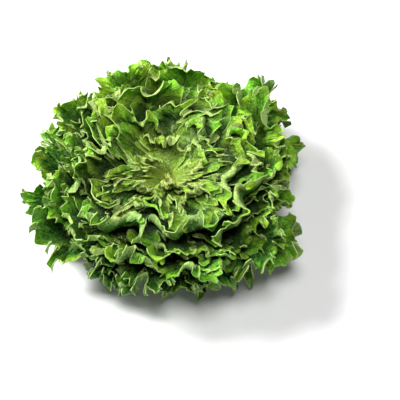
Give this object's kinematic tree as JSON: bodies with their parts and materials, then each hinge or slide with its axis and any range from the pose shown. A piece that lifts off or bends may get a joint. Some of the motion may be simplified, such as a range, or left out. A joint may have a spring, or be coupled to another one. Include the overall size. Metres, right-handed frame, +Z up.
{
  "type": "curly endive head",
  "caption": "Wide, low head of curly endive: ruffled leaves with toothed margins in a spiral round a short cut stem, open at the top over a pale folded heart.",
  "frame": {"origin": "middle of the cut face that the stem stands on", "axes": "+Z up along the stem, out of the heart; the picture's camera looks along +Y and down, with +X to its right"},
  "size_m": [0.3077, 0.3128, 0.1252],
  "materials": {
    "leaf_outer": "satin",
    "leaf_middle": "satin",
    "leaf_inner": "satin",
    "leaf_heart": "satin",
    "stem": "matte"
  },
  "bodies": {
    "root": {"stem": "stem", "heart_bud": "leaf_heart", "leaf_01": "leaf_outer", "leaf_02": "leaf_outer", "leaf_03": "leaf_outer", "leaf_04": "leaf_outer", "leaf_05": "leaf_outer", "leaf_06": "leaf_outer", "leaf_07": "leaf_outer", "leaf_08": "leaf_outer", "leaf_09": "leaf_outer", "leaf_10": "leaf_outer", "leaf_11": "leaf_outer", "leaf_12": "leaf_outer", "leaf_13": "leaf_outer", "leaf_14": "leaf_outer", "leaf_15": "leaf_outer", "leaf_16": "leaf_outer", "leaf_17": "leaf_outer", "leaf_18": "leaf_outer", "leaf_19": "leaf_outer", "leaf_20": "leaf_outer", "leaf_21": "leaf_middle", "leaf_22": "leaf_middle", "leaf_23": "leaf_middle", "leaf_24": "leaf_middle", "leaf_25": "leaf_middle", "leaf_26": "leaf_middle", "leaf_27": "leaf_middle", "leaf_28": "leaf_middle", "leaf_29": "leaf_middle", "leaf_30": "leaf_middle", "leaf_31": "leaf_middle", "leaf_32": "leaf_middle", "leaf_33": "leaf_middle", "leaf_34": "leaf_middle", "leaf_35": "leaf_middle", "leaf_36": "leaf_middle", "leaf_37": "leaf_middle", "leaf_38": "leaf_middle", "leaf_39": "leaf_inner", "leaf_40": "leaf_inner", "leaf_41": "leaf_inner", "leaf_42": "leaf_inner", "leaf_43": "leaf_inner", "leaf_44": "leaf_inner", "leaf_45": "leaf_inner", "leaf_46": "leaf_inner", "leaf_47": "leaf_inner", "leaf_48": "leaf_inner", "leaf_49": "leaf_inner", "leaf_50": "leaf_inner", "leaf_51": "leaf_heart", "leaf_52": "leaf_heart", "leaf_53": "leaf_heart", "leaf_54": "leaf_heart", "leaf_55": "leaf_heart", "leaf_56": "leaf_heart", "leaf_57": "leaf_heart", "leaf_58": "leaf_heart"}
  },
  "joints": []
}
